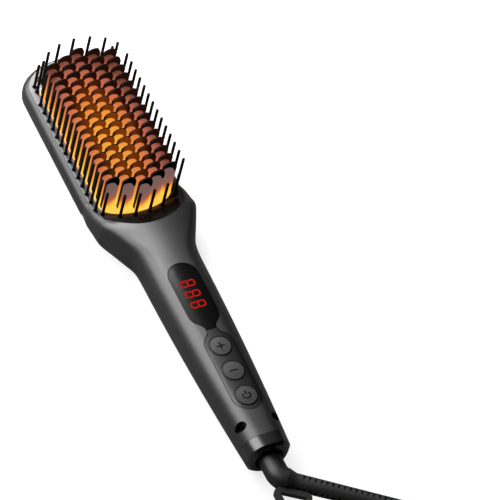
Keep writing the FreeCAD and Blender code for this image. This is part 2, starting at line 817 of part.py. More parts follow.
# Buttons: cap, retaining flange under the panel and stem over the switch
def button(station):
    """Round key that slides down on to its switch."""
    top = size("handle_top") + size("button_proud")
    under = panel_floor - size("button_rest_gap")
    flange_low = under - size("button_flange_thick")
    foot = board_top + size("switch_tall") + size("button_travel") + size("button_rest_gap")
    edge = size("button_edge")
    radius = size("button_radius")
    outline = [
        Vector(0, 0, foot), Vector(size("button_stem_radius"), 0, foot),
        Vector(size("button_stem_radius"), 0, flange_low),
        Vector(radius + size("button_flange"), 0, flange_low),
        Vector(radius + size("button_flange"), 0, under), Vector(radius, 0, under),
        Vector(radius, 0, top - edge), Vector(radius - edge, 0, top), Vector(0, 0, top), Vector(0, 0, foot),
    ]
    solid = Part.Face(Part.makePolygon(outline)).revolve(Vector(), Vector(0, 0, 1), 360)
    solid.translate(Vector(0, along(station), 0))
    return solid


for name, station in zip(button_names, button_stations):
    feature(name, button(station))

# End cap: bevelled rim, bore for the bush and a spigot inside the shells
AXIS = Vector(0, -1, 0)


def bar(radius, first, last):
    """Round bar on the handle axis between two stations."""
    return Part.makeCylinder(radius, last - first, Vector(0, along(first), HANDLE_AXIS), AXIS)


cap = outer.common(slab(CAP_START + size("cap_gap"), FAR, -1, FAR))
rim = []
for edge in cap.Edges:
    box = edge.BoundBox
    if box.YMax < along(size("body_length")) + 1e-3:
        rim.append(edge)
cap = cap.makeChamfer(size("cap_edge"), rim)
bush_end = size("body_length") - size("cap_recess")
bush_start = bush_end - size("bush_long")
hollow_end = bush_start - size("cap_gap")
spigot = casing_form(size("wall") + size("spigot_clear"))
spigot = spigot.common(slab(CAP_START - size("spigot_long"), hollow_end, -1, FAR))
cap = cap.fuse(spigot)
core = casing_form(size("wall") + size("spigot_clear") + size("carrier_wall"))
cap = cap.cut(core.common(slab(CAP_START - 2 * size("spigot_long"), hollow_end, -1, FAR)))
cap = cap.cut(bar(size("cap_bore"), hollow_end - 1, size("body_length") + 1)).removeSplitter()
feature("end_cap", cap)
bush = bar(size("cap_bore"), bush_start, bush_end)
feature("swivel_bush", bush.cut(bar(size("shaft_radius") + size("shaft_clear"), 0, FAR)))

# Swivel: shaft, inner collar, tail and the elbow that turns with it
collar_end = bush_start - size("collar_gap")
collar_start = collar_end - size("collar_thick")
tail_start = collar_start - size("tail_long")
shaft_end = size("body_length") + size("elbow_out")
shaft = bar(size("shaft_radius"), collar_end - size("collar_gap"), shaft_end)
shaft = shaft.fuse(bar(size("collar_radius"), collar_start, collar_end))
shaft = shaft.fuse(bar(size("tail_radius"), tail_start, collar_start))
bulge_start = bush_end + size("cap_gap")
bend_centre = Vector(size("elbow_bend"), along(shaft_end), HANDLE_AXIS)
bend = math.radians(size("elbow_angle"))
elbow_ring = Part.Wire(Part.makeCircle(size("elbow_radius"), Vector(0, along(shaft_end), HANDLE_AXIS), AXIS))
elbow = Part.Face(elbow_ring).revolve(bend_centre, Vector(0, 0, 1), size("elbow_angle"))
elbow = elbow.fuse(bar(size("elbow_radius"), bulge_start, shaft_end)).fuse(shaft).removeSplitter()
heading = Vector(math.sin(bend), -math.cos(bend), 0)
sleeve_start = bend_centre + Vector(-math.cos(bend), -math.sin(bend), 0) * size("elbow_bend")

# Slotted sleeve, straight on from the elbow
end_edge = (size("sleeve_end_radius") - size("sleeve_bore")) / 2
profile = [
    Vector(size("sleeve_bore"), 0, 0), Vector(size("elbow_radius"), 0, 0),
    Vector(size("sleeve_radius"), 0, size("sleeve_shoulder")),
    Vector(size("sleeve_end_radius"), 0, size("sleeve_long") - end_edge),
    Vector(size("sleeve_end_radius") - end_edge, 0, size("sleeve_long")),
    Vector(size("sleeve_bore"), 0, size("sleeve_long")),
]
sleeve = Part.Face(Part.makePolygon(profile + profile[:1])).revolve(Vector(), Vector(0, 0, 1), 360)
slots = []
for row in range(int(size("sleeve_slot_rows"))):
    aim = (row + 0.5) * 360 / size("sleeve_slot_rows")
    shift = (row % 2) * size("sleeve_slot_pitch") / 2
    for i in range(int(size("sleeve_slots"))):
        reach = size("sleeve_slot_first") + shift + i * size("sleeve_slot_pitch")
        taper = (size("sleeve_radius") - size("sleeve_end_radius")) * reach / size("sleeve_long")
        floor = size("sleeve_radius") - taper - size("sleeve_slot_deep")
        corner = Vector(floor, -size("sleeve_slot_wide") / 2, reach)
        slot = Part.makeBox(2 * size("sleeve_slot_deep"), size("sleeve_slot_wide"),
                            size("sleeve_slot_long"), corner)
        slot.rotate(Vector(), Vector(0, 0, 1), aim)
        slots.append(slot)
sleeve = sleeve.cut(Part.makeCompound(slots))
sleeve.Placement = FreeCAD.Placement(sleeve_start, Rotation(Vector(0, 0, 1), heading))
feature("strain_relief", sleeve)
feature("swivel_elbow", elbow)

# Hanging loop: a flat ring on the outside of the elbow
loop_corners = [
    (-size("loop_left"), size("loop_root_left")), (size("loop_right"), size("loop_root_right")),
    (size("loop_end_right"), size("loop_end")), (-size("loop_left"), size("loop_end")),
]
loop_points = [Vector(across, along(size("body_length") + past), 0) for across, past in loop_corners]
loop = Part.Face(Part.makePolygon(loop_points + loop_points[:1]))
loop = loop.extrude(Vector(0, 0, size("loop_thick")))
loop = loop.makeFillet(size("loop_round"), [e for e in loop.Edges if e.BoundBox.ZLength > 0.1])
low_face = [face for face in loop.Faces if face.BoundBox.ZMax < 0.1][0]
window = low_face.makeOffset2D(-size("loop_bar"))
loop = loop.cut(window.extrude(Vector(0, 0, size("loop_thick"))))
loop.translate(Vector(0, 0, HANDLE_AXIS - size("loop_thick") / 2))
feature("hang_loop", loop.cut(elbow).cut(sleeve))

# Slip rings on the tail and their sprung contacts in a carrier
rings = []
brushes = []
for i in range(2):
    first = tail_start + size("ring_pitch") * i + size("collar_gap")
    ring = bar(size("ring_radius"), first, first + size("ring_long"))
    rings.append(ring.cut(bar(size("tail_radius"), 0, FAR)))
    middle = first + size("ring_long") / 2
    for side in (-1, 1):
        near = side * (size("ring_radius") + size("brush_clear") + size("brush_thick") / 2)
        tall = 2 * size("brush_wide")
        blade = block(size("brush_thick"), size("brush_wide"), HANDLE_AXIS - tall, HANDLE_AXIS + tall / 2,
                      near, middle)
        brushes.append(blade)
feature("slip_rings", Part.makeCompound(rings))
feature("contact_springs", Part.makeCompound(brushes))
carrier_low = size("wall")
carrier_high = HANDLE_AXIS - 2 * size("brush_wide")
carrier_station = tail_start + size("ring_pitch") / 2 + size("ring_long") / 2 + size("collar_gap")
carrier = block(size("carrier_depth"), 2 * size("ring_pitch"), carrier_low, carrier_high, 0, carrier_station)
feature("contact_carrier", carrier.common(casing_form(size("wall") + size("spigot_clear"))))

doc.recompute()

# Test every object, then write one file for each sub-part
NODES = [
    "front_shell", "back_shell", "bristle_bed", "cool_pins", "short_pins", "heating_plate", "heating_fins",
    "ceramic_heater", "heater_clamp", "mica_sheet", "thermal_fuse", "heat_sensor", "ion_grille",
    "ion_generator", "head_screws", "case_screws", "board_screws", "display_window", "button_panel",
    "control_board", "tact_switches", "display_module", "power_board", "triac", "capacitor",
    "plus_button", "minus_button", "power_button", "end_cap", "swivel_bush", "swivel_elbow",
    "strain_relief", "hang_loop", "slip_rings", "contact_springs", "contact_carrier",
]
for item in doc.Objects:
    if "Invalid" in item.State or "Error" in item.State:
        raise RuntimeError("failed object: " + item.Label)
for node in NODES:
    shape = doc.getObjectsByLabel(node)[0].Shape
    if shape.isNull() or not shape.isValid():
        raise RuntimeError("bad shape: " + node)
    shape.exportStep("parts/%s.step" % node)
    print(node, len(shape.Solids), round(shape.Volume, 1))
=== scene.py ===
"""Looks of a hair straightening brush, dressed around its packed construction.

Every length is in metres, in the frame of the construction: +Z out of the flat back along the
bristles, +Y along the brush to the head tip.
"""

import logging
import math
from dataclasses import dataclass, field
from enum import Enum
from typing import Any, Iterable, Sequence, Union

import bmesh
import bpy
from mathutils import Matrix, Vector


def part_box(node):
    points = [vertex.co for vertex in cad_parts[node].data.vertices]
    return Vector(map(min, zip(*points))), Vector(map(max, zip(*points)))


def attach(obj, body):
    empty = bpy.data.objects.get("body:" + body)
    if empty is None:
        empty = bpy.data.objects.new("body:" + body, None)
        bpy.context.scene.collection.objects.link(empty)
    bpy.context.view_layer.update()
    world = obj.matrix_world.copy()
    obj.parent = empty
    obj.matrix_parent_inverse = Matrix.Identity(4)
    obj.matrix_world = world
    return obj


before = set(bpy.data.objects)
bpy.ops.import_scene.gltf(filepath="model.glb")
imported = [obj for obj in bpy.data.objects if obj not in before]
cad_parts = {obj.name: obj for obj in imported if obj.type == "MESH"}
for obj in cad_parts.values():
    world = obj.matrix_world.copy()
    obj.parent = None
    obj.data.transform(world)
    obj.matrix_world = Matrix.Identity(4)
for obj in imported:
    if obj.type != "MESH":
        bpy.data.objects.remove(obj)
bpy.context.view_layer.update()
log = logging.getLogger("brush")

MM = 0.001
Colour = tuple[float, float, float]
Point = tuple[float, float]
Stops = tuple[tuple[float, Colour], ...]
Number = Union[int, float]

UNLIT: Colour = (0.0, 0.0, 0.0)
# Near black: the print of the key marks, and painted shade beside neighbours and round the keys.
DEEP_BLACK: Colour = (0.001, 0.001, 0.001)
WHITE: Colour = (1.0, 1.0, 1.0)
NOISE_MIDDLE = 0.5
WELD_REACH = 0.001 * MM


class Signal:
    """Output socket of a shader node that takes part in expressions."""

    def __init__(self, graph: "Graph", socket: bpy.types.NodeSocket) -> None:
        """Keep the socket and the graph that it belongs to."""
        self.graph = graph
        self.socket = socket

    def _maths(self, operation: str, *values: Any, clamp: bool = False) -> "Signal":
        """Add one Math node.

        Args:
            operation: The node's operation.
            values: Its inputs, in order.
            clamp: Whether the result stays from 0 to 1.

        Returns:
            The node's result.
        """
        settings = {"operation": operation, "use_clamp": clamp}
        return self.graph.node("ShaderNodeMath", settings, dict(enumerate(values)))

    def __add__(self, other: Any) -> "Signal":
        """Sum."""
        return self._maths("ADD", self, other)

    def __radd__(self, other: Any) -> "Signal":
        """Sum with a number on the left."""
        return self._maths("ADD", other, self)

    def __sub__(self, other: Any) -> "Signal":
        """Difference."""
        return self._maths("SUBTRACT", self, other)

    def __rsub__(self, other: Any) -> "Signal":
        """Difference with a number on the left."""
        return self._maths("SUBTRACT", other, self)

    def __mul__(self, other: Any) -> "Signal":
        """Product."""
        return self._maths("MULTIPLY", self, other)

    def __rmul__(self, other: Any) -> "Signal":
        """Product with a number on the left."""
        return self._maths("MULTIPLY", other, self)

    def __truediv__(self, other: Any) -> "Signal":
        """Quotient."""
        return self._maths("DIVIDE", self, other)

    def __abs__(self) -> "Signal":
        """Size without sign."""
        return self._maths("ABSOLUTE", self)

    def power(self, exponent: Number) -> "Signal":
        """Value raised to an exponent."""
        return self._maths("POWER", self, exponent)

    def rounded(self) -> "Signal":
        """Nearest whole number."""
        return self._maths("ROUND", self)

    def cosine(self) -> "Signal":
        """Cosine of an angle in radians."""
        return self._maths("COSINE", self)

    def swing(self, size: Number) -> "Signal":
        """Noise turned into a swing of a given size about 0."""
        return (self - NOISE_MIDDLE) * size

    def clamped(self) -> "Signal":
        """Value kept from 0 to 1."""
        return self._maths("ADD", self, 0.0, clamp=True)

    def smooth(self, low: Number, high: Number) -> "Signal":
        """Smooth step.

        Args:
            low: Value where the result is 0.
            high: Value where the result is 1.

        Returns:
            The share from 0 to 1.
        """
        settings = {"interpolation_type": "SMOOTHSTEP"}
        inputs = {"Value": self, "From Min": low, "From Max": high}
        return self.graph.node("ShaderNodeMapRange", settings, inputs)


@dataclass(frozen=True)
class Crown:
    """Soft crown of the casing, as a slope for each metre from the middle line.

    It changes from the head's slope to the handle's between two places along the brush.
    """

    head: float = 6.0
    handle: float = 19.0
    head_y: float = 41 * MM
    handle_y: float = -10 * MM


class Graph:
    """Node tree of one material or of the world."""

    MIX_SHARE = 0
    MIX_FIRST = 6
    MIX_SECOND = 7
    MIX_RESULT = 2

    def __init__(self, tree: bpy.types.NodeTree) -> None:
        """Start from an empty tree."""
        self.tree = tree
        tree.nodes.clear()

    def node(self, kind: str, settings: dict[str, Any] | None = None,
             inputs: dict[Any, Any] | None = None, output: Any = 0) -> Signal:
        """Add one node.

        Args:
            kind: The node's type.
            settings: Its properties, set first. "stops" holds the stops of a colour ramp.
            inputs: Values or signals for its sockets, by name or by number.
            output: The socket that is returned, by name or by number.

        Returns:
            The chosen output, or the first input of a node that has no outputs.
        """
        made = self.tree.nodes.new(kind)
        for name, value in (settings or {}).items():
            if name == "stops":
                self._stops(made.color_ramp, value)
            else:
                setattr(made, name, value)
        for name, value in (inputs or {}).items():
            if isinstance(value, Signal):
                self.tree.links.new(value.socket, made.inputs[name])
            else:
                made.inputs[name].default_value = value
        return Signal(self, made.outputs[output]) if made.outputs else Signal(self, made.inputs[0])

    @staticmethod
    def _stops(ramp: bpy.types.ColorRamp, stops: Stops) -> None:
        """Set a colour ramp's stops.

        Args:
            ramp: The ramp, with two stops of its own.
            stops: Place and colour of each stop.
        """
        while len(ramp.elements) < len(stops):
            ramp.elements.new(1.0)
        for element, (place, colour) in zip(ramp.elements, stops):
            element.position = place
            element.color = (*colour, 1.0)

    def place(self) -> tuple[Signal, Signal, Signal]:
        """X, Y and Z of the shaded point in the frame of the piece."""
        point = self.node("ShaderNodeTexCoord", output="Object")
        return self.parts(point)

    def parts(self, vector: Signal) -> tuple[Signal, Signal, Signal]:
        """Three parts of a vector."""
        split = self.node("ShaderNodeSeparateXYZ", inputs={0: vector}).socket.node
        return tuple(Signal(self, split.outputs[i]) for i in range(3))

    def noise(self, per_metre: float, detail: float = 2.0) -> Signal:
        """Noise over the piece.

        Args:
            per_metre: How often it repeats in a metre.
            detail: Its finer octaves.

        Returns:
            A value about 0.5.
        """
        point = self.node("ShaderNodeTexCoord", output="Object")
        inputs = {"Vector": point, "Scale": per_metre, "Detail": detail}
        return self.node("ShaderNodeTexNoise", inputs=inputs)

    def mix(self, share: Any, first: Any, second: Any) -> Signal:
        """Colour between two colours or signals.

        Args:
            share: 0 gives the first, 1 the second.
            first: A colour or a signal.
            second: A colour or a signal.

        Returns:
            The mixed colour.
        """
        inputs = {self.MIX_SHARE: share, self.MIX_FIRST: rgba(first), self.MIX_SECOND: rgba(second)}
        return self.node("ShaderNodeMix", {"data_type": "RGBA"}, inputs, self.MIX_RESULT)

    def ramp(self, stops: Stops, share: Signal) -> Signal:
        """Colour at a share of a colour ramp."""
        return self.node("ShaderNodeValToRGB", {"stops": stops}, {"Fac": share.clamped()})

    def principled(self, inputs: dict[str, Any]) -> Signal:
        """Principled shader with these inputs."""
        return self.node("ShaderNodeBsdfPrincipled", inputs=inputs)

    def mix_shaders(self, share: Signal, first: Signal, second: Signal) -> Signal:
        """Shader between two shaders: a share of 0 gives the first."""
        return self.node("ShaderNodeMixShader", inputs={0: share, 1: first, 2: second})

    def bump(self, height: Signal, distance: float = 1.0, strength: float = 1.0) -> Signal:
        """Normal raised by a height, which is in metres unless a distance scales it."""
        inputs = {"Height": height, "Distance": distance, "Strength": strength}
        return self.node("ShaderNodeBump", inputs=inputs)

    def crowned(self, crown: Crown) -> Signal:
        """Height of a top face that falls off to both sides as a parabola.

        Args:
            crown: Its slope on the head and on the handle.

        Returns:
            The height in metres.
        """
        across, along, _ = self.place()
        on_handle = along.smooth(crown.head_y, crown.handle_y)
        slope = crown.head + on_handle * (crown.handle - crown.head)
        return across * across * slope * -0.5

    def surface(self, shader: Signal, output: str = "ShaderNodeOutputMaterial") -> None:
        """Send a shader to the output, which is a material's unless another kind is named."""
        self.node(output, inputs={"Surface": shader})


def rgba(colour: Any) -> Any:
    """Colour with full alpha, or a signal as it is."""
    return colour if isinstance(colour, Signal) else (*colour, 1.0)


def scaled(colour: Colour, factor: float) -> Colour:
    """Colour made darker or lighter by a factor."""
    red, green, blue = colour
    return red * factor, green * factor, blue * factor


def fresh_material(name: str) -> tuple[bpy.types.Material, Graph]:
    """Make an empty material.

    Args:
        name: The finish's name.

    Returns:
        The material and its graph.
    """
    material = bpy.data.materials.new(name)
    material.use_nodes = True
    return material, Graph(material.node_tree)


@dataclass(frozen=True)
class Look:
    """Finish with a name, the base of every kind of finish."""

    name: str

    def build(self) -> bpy.types.Material:
        """Make the material.

        Returns:
            The material.
        """
        material, graph = fresh_material(self.name)
        graph.surface(self.shader(graph))
        return material

    def shader(self, graph: Graph) -> Signal:
        """Shader of the finish, which every kind makes in its own way."""
        raise NotImplementedError


@dataclass(frozen=True)
class Plastic(Look):
    """Moulded plastic or rubber with a fine grain.

    The colour and the roughness vary a little over the piece, and the grain is a bump. A crown is
    a bump too. The shade reach is how far painted shade, found by ambient occlusion, darkens the
    surface beside a neighbour.
    """

    colour: Colour
    roughness: float
    specular: float = 0.5
    drift: float = 0.12
    haze: float = 0.06
    drift_per_metre: float = 60.0
    drift_detail: float = 3.0
    grain_per_metre: float = 4200.0
    grain_depth: float = 0.03 * MM
    grain_strength: float = 0.1
    crown: Crown | None = None
    painted_shade_reach: float = 0.0
    painted_shade_full_ao: float = 0.8
    painted_shade_clear_ao: float = 0.97
    painted_shade_samples: int = 8

    def shader(self, graph: Graph) -> Signal:
        """Shader with the grain, the crown and the painted shade beside neighbours.

        Args:
            graph: Where the nodes go.

        Returns:
            The shader.
        """
        slow = graph.noise(self.drift_per_metre, self.drift_detail)
        fine = graph.noise(self.grain_per_metre)
        height = fine * (self.grain_depth * self.grain_strength)
        if self.crown is not None:
            height = height + graph.crowned(self.crown)
        low = scaled(self.colour, 1 - self.drift)
        high = scaled(self.colour, 1 + self.drift)
        skin = graph.principled({
            "Base Color": graph.mix(slow, low, high),
            "Roughness": (self.roughness + slow.swing(self.haze)).clamped(),
            "Specular IOR Level": self.specular,
            "Normal": graph.bump(height),
        })
        return self._with_painted_shade(graph, skin) if self.painted_shade_reach > 0 else skin

    def _with_painted_shade(self, graph: Graph, skin: Signal) -> Signal:
        """Paint shade onto a shader beside a neighbour.

        Args:
            graph: Where the nodes go.
            skin: The shader away from the painted shade.

        Returns:
            The shader with the painted shade.
        """
        # Painted shade: black where ambient occlusion finds a neighbour within the shade reach.
        clear = graph.node("ShaderNodeAmbientOcclusion", {"samples": self.painted_shade_samples},
                           {"Distance": self.painted_shade_reach}, "AO")
        shade = graph.principled({
            "Base Color": rgba(DEEP_BLACK),
            "Roughness": 0.9,
            "Specular IOR Level": 0.0,
        })
        return graph.mix_shaders(clear.smooth(self.painted_shade_full_ao, self.painted_shade_clear_ao), shade, skin)


@dataclass(frozen=True)
class KeyTop(Look):
    """Satin key with a shallow dish and a ring of painted shade round its edge."""

    centre: Point
    colour: Colour = (0.009, 0.009, 0.0095)
    low_share: float = 0.85
    roughness: float = 0.42
    shade_ring_rougher: float = 0.4
    haze: float = 0.06
    # Radius where the ring of painted shade starts.
    edge: float = 5.0 * MM
    shade_ring_soft: float = 0.35 * MM
    dish: float = 10.0
    grain_per_metre: float = 4200.0
    grain_depth: float = 0.003 * MM

    def shader(self, graph: Graph) -> Signal:
        """Shader with the dish and the painted shade at the edge.

        Args:
            graph: Where the nodes go.

        Returns:
            The shader.
        """
        across, along, _ = graph.place()
        side = across - self.centre[0]
        ahead = along - self.centre[1]
        square = side * side + ahead * ahead
        # Painted shade: a black ring at the key's edge, where it meets its recess.
        painted_shade_ring = square.power(0.5).smooth(self.edge, self.edge + self.shade_ring_soft)
        grain = graph.noise(self.grain_per_metre)
        height = grain * self.grain_depth - square * (self.dish / 2)
        top = graph.mix(grain, scaled(self.colour, self.low_share), self.colour)
        return graph.principled({
            "Base Color": graph.mix(painted_shade_ring, top, DEEP_BLACK),
            "Roughness": self.roughness + painted_shade_ring * self.shade_ring_rougher + grain.swing(self.haze),
            "Normal": graph.bump(height),
        })


@dataclass(frozen=True)
class Metal(Look):
    """Bare or plated metal with fine marks all over."""

    colour: Colour
    roughness: float
    low_share: float = 0.8
    haze: float = 0.2
    marks_per_metre: float = 2600.0
    marks_detail: float = 4.0
    marks_depth: float = 0.01 * MM
    marks_strength: float = 0.2

    def shader(self, graph: Graph) -> Signal:
        """Shader with the marks.

        Args:
            graph: Where the nodes go.

        Returns:
            The shader.
        """
        marks = graph.noise(self.marks_per_metre, self.marks_detail)
        return graph.principled({
            "Base Color": graph.mix(marks, scaled(self.colour, self.low_share), self.colour),
            "Roughness": (self.roughness + marks.swing(self.haze)).clamped(),
            "Metallic": 1.0,
            "Normal": graph.bump(marks, self.marks_depth, self.marks_strength),
        })


@dataclass(frozen=True)
class Lamp(Look):
    """Surface that gives an almost even light of its own."""

    colour: Colour
    off_colour: Colour = (0.004, 0.0, 0.0)
    low_share: float = 0.85
    drift_per_metre: float = 900.0

    def shader(self, graph: Graph) -> Signal:
        """Shader with the light.

        Args:
            graph: Where the nodes go.

        Returns:
            The shader.
        """
        drift = graph.noise(self.drift_per_metre)
        return graph.principled({
            "Base Color": rgba(self.off_colour),
            "Roughness": 0.5,
            "Specular IOR Level": 0.0,
            "Emission Color": graph.mix(drift, scaled(self.colour, self.low_share), self.colour),
            "Emission Strength": 1.0,
        })


# Colours of the painted glow, from the base of a blade to its top.
PAINTED_GLOW_STOPS: Stops = (
    (0.0, (1.0, 0.6, 0.07)),
    (0.12, (0.95, 0.43, 0.045)),
    (0.25, (0.85, 0.28, 0.045)),
    (0.45, (0.68, 0.17, 0.065)),
    (0.7, (0.44, 0.12, 0.075)),
    (1.0, (0.12, 0.035, 0.02)),
)
# Colours of the painted glow on the front row.
FRONT_PAINTED_GLOW_STOPS: Stops = (
    (0.0, (1.0, 0.58, 0.1)),
    (0.14, (1.0, 0.5, 0.04)),
    (0.27, (0.85, 0.27, 0.045)),
    (0.38, (0.52, 0.14, 0.06)),
    (0.52, (0.32, 0.115, 0.08)),
    (0.8, (0.22, 0.115, 0.1)),
    (1.0, (0.19, 0.11, 0.1)),
)


@dataclass(frozen=True)
class PaintedGlowFins(Look):
    """Coated blades with a painted glow on their broad faces, dark edges and dimmer bevelled tops.

    The painted glow is dimmest at the tip and at the sides; hot, cold and cooling below name where
    it is brighter or dimmer. On the front row it is dimmest at the tops, and its bevels are dark.
    """

    base: float
    top: float
    half_wide: float
    crown_tall: float
    front_y: float
    column_pitch: float
    stagger: float
    hot_x: float
    hot_y: float
    reach_across: float
    reach_along: float
    moon_shift: float = 1.5 * MM
    moon_soft: float = 0.12 * MM
    dark: Colour = (0.003, 0.002, 0.002)
    light_share: float = 1.4
    crown_glow: Colour = (0.2, 0.035, 0.001)
    crown_ember: Colour = (0.014, 0.003, 0.001)
    ember_cold: float = 0.55
    edge_facing: float = 0.8
    face_facing: float = 0.93
    cooling_power: float = 0.7
    least_cooling: float = 0.16
    drift: float = 0.14
    drift_per_metre: float = 240.0
    front_rise: float = 1.25
    front_wave: float = 0.09
    front_end: float = 2 * MM
    second_start: float = 4 * MM
    roughness: float = 0.6
    haze: float = 0.1
    grain_per_metre: float = 3800.0
    grain_depth: float = 0.02 * MM
    grain_strength: float = 0.1

    def shader(self, graph: Graph) -> Signal:
        """Shader with the painted glow.

        Args:
            graph: Where the nodes go.

        Returns:
            The shader.
        """
        normal = graph.node("ShaderNodeNewGeometry", output="Normal")
        _, facing, _ = graph.parts(normal)
        # Only the broad faces get the painted glow; the narrow edges stay dark.
        broad = abs(facing).smooth(self.edge_facing, self.face_facing)
        grain = graph.noise(self.grain_per_metre)
        return graph.principled({
            "Base Color": graph.mix(grain, self.dark, scaled(self.dark, self.light_share)),
            "Roughness": self.roughness + grain.swing(self.haze),
            "Specular IOR Level": 0.04,
            # Painted glow: the blades are no lamp but give light of their own.
            "Emission Color": graph.mix(broad, UNLIT, self._painted_glow(graph)),
            "Emission Strength": 1.0,
            "Normal": graph.bump(grain, self.grain_depth, self.grain_strength),
        })

    def _painted_glow(self, graph: Graph) -> Signal:
        """Painted glow of the broad faces.

        Args:
            graph: Where the nodes go.

        Returns:
            The colour of the painted glow.
        """
        across, along, up = graph.place()
        height = ((up - self.base) / (self.top - self.crown_tall - self.base)).clamped()
        side = (across - self.hot_x) / self.reach_across
        ahead = (along - self.hot_y) / self.reach_along
        cold = (side * side + ahead * ahead).clamped()
        drift = graph.noise(self.drift_per_metre).swing(self.drift)
        cooling = self.least_cooling + (1 - self.least_cooling) * cold
        inner = graph.ramp(PAINTED_GLOW_STOPS, height.power(self.cooling_power) * cooling + drift * height)
        wave = (across * (2 * math.pi / self.column_pitch)).cosine()
        first = graph.ramp(FRONT_PAINTED_GLOW_STOPS, height * self.front_rise + wave * self.front_wave + drift)
        behind = along - abs(across) * self.stagger - self.front_y
        row = behind.smooth(self.front_end, self.second_start)
        ember = graph.mix(cold.smooth(0.0, self.ember_cold), self.crown_glow, self.crown_ember)
        bevel = self._bevel(across, up)
        return graph.mix(bevel, graph.mix(row, first, inner), graph.mix(row, UNLIT, ember))

    def _bevel(self, across: Signal, up: Signal) -> Signal:
        """Share that is 1 on the bevelled tops, which look like crescents.

        Args:
            across: X of the point.
            up: Z of the point.

        Returns:
            The share.
        """
        column = across - (across / self.column_pitch).rounded() * self.column_pitch
        # The crescents sit left of each blade's middle, so the dark top reaches lower on the right.
        moon = column + self.moon_shift
        arch = (self.half_wide ** 2 - moon * moon).clamped().power(0.5)
        crown_low = arch + (self.top - self.half_wide - self.crown_tall)
        return (up - crown_low).smooth(-self.moon_soft, self.moon_soft)


@dataclass(frozen=True)
class PaintedGlowBed(Look):
    """Floor round the blades: like the casing beside them and dull in the crescent before them.

    The glow is painted light from the blades, fading out from the plate's front edge.
    """

    colour: Colour
    # Colour of the painted glow: the blades' light painted onto the bed.
    glow: Colour
    front_y: float
    fade: float
    half_wide: float
    crown: Crown
    bow: float = 1.4
    fade_power: float = 1.6
    glow_end: float = 12 * MM
    glow_soft: float = 1 * MM
    dull_until: float = 1 * MM
    satin_from: float = 5 * MM
    satin_low: float = 0.8
    dull_low: float = 1.6
    dull_high: float = 2.2
    roughness: float = 0.43
    haze: float = 0.08
    grain_per_metre: float = 3800.0
    grain_depth: float = 0.002 * MM

    def shader(self, graph: Graph) -> Signal:
        """Shader with the satin sides and the dull crescent.

        Args:
            graph: Where the nodes go.

        Returns:
            The shader.
        """
        across, along, _ = graph.place()
        grain = graph.noise(self.grain_per_metre)
        height = grain * self.grain_depth + graph.crowned(self.crown)
        satin = graph.principled({
            "Base Color": graph.mix(grain, scaled(self.colour, self.satin_low), self.colour),
            "Roughness": self.roughness + grain.swing(self.haze),
            "Normal": graph.bump(height),
        })
        dull_low = scaled(self.colour, self.dull_low)
        dull_high = scaled(self.colour, self.dull_high)
        dull = graph.principled({
            "Base Color": graph.mix(grain, dull_low, dull_high),
            "Roughness": 0.8,
            "Specular IOR Level": 0.06,
            # Painted glow in the crescent, fading out from the plate's front edge.
            "Emission Color": graph.mix(self._painted_glow_share(across, along), UNLIT, self.glow),
            "Emission Strength": 1.0,
        })
        crescent = (along - self.front_y).smooth(self.satin_from, self.dull_until)
        return graph.mix_shaders(crescent, satin, dull)

    def _painted_glow_share(self, across: Signal, along: Signal) -> Signal:
        """Share of the painted glow, most at the middle of the plate's front edge.

        Args:
            across: X of the point.
            along: Y of the point.

        Returns:
            The share.
        """
        reach = (self.front_y - along) / self.fade
        aside = across / self.half_wide
        distance = (reach + aside * aside * self.bow).clamped()
        behind = along - self.front_y - self.glow_end
        return (1 - distance).power(self.fade_power) * behind.smooth(self.glow_soft, -self.glow_soft)


@dataclass(frozen=True)
class PaintedGlowPlate(Look):
    """Plate under the blades, with a painted glow all over, dimmer to the tip."""

    front_y: float
    tip_y: float
    tip_cooling: float = 0.3
    drift: float = 0.12
    drift_per_metre: float = 200.0
    dark: Colour = (0.32, 0.18, 0.13)
    light: Colour = (0.38, 0.22, 0.15)
    roughness: float = 0.4
    haze: float = 0.1

    def shader(self, graph: Graph) -> Signal:
        """Shader with the painted glow.

        Args:
            graph: Where the nodes go.

        Returns:
            The shader.
        """
        _, along, _ = graph.place()
        share = ((along - self.front_y) / (self.tip_y - self.front_y)).clamped()
        cooling = share * self.tip_cooling
        drift = graph.noise(self.drift_per_metre)
        return graph.principled({
            "Base Color": graph.mix(drift, self.dark, self.light),
            "Roughness": self.roughness + drift.swing(self.haze),
            "Metallic": 0.6,
            # Painted glow: the plate gives light of its own.
            "Emission Color": graph.ramp(PAINTED_GLOW_STOPS, cooling + drift.swing(self.drift)),
            "Emission Strength": 1.0,
        })


def coat_node(node: str, material: bpy.types.Material, crease_deg: float = 32.0) -> None:
    """Give a construction node its finish and smooth shading.

    Args:
        node: The node's name.
        material: The finish.
        crease_deg: Edges that turn by more than this stay sharp.
    """
    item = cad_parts[node]
    item.data.materials.clear()
    item.data.materials.append(material)
    item.data.polygons.foreach_set("use_smooth", [True] * len(item.data.polygons))
    item.data.polygons.foreach_set("material_index", [0] * len(item.data.polygons))
    weld = item.modifiers.new("weld", "WELD")
    weld.merge_threshold = WELD_REACH
    split = item.modifiers.new("creases", "EDGE_SPLIT")
    split.split_angle = math.radians(crease_deg)
    log.info("dressed %s", node)


def new_piece(name: str, mesh: bmesh.types.BMesh, material: bpy.types.Material, body: str) -> bpy.types.Object:
    """Make a piece of its own that rides on a body.

    Args:
        name: The piece's name.
        mesh: Its geometry, which is freed.
        material: Its finish.
        body: The body that carries it.

    Returns:
        The object.
    """
    bmesh.ops.recalc_face_normals(mesh, faces=mesh.faces)
    data = bpy.data.meshes.new(name)
    mesh.to_mesh(data)
    mesh.free()
    data.materials.append(material)
    item = bpy.data.objects.new(name, data)
    bpy.context.scene.collection.objects.link(item)
    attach(item, body)
    log.info("added %s on %s", name, body)
    return item


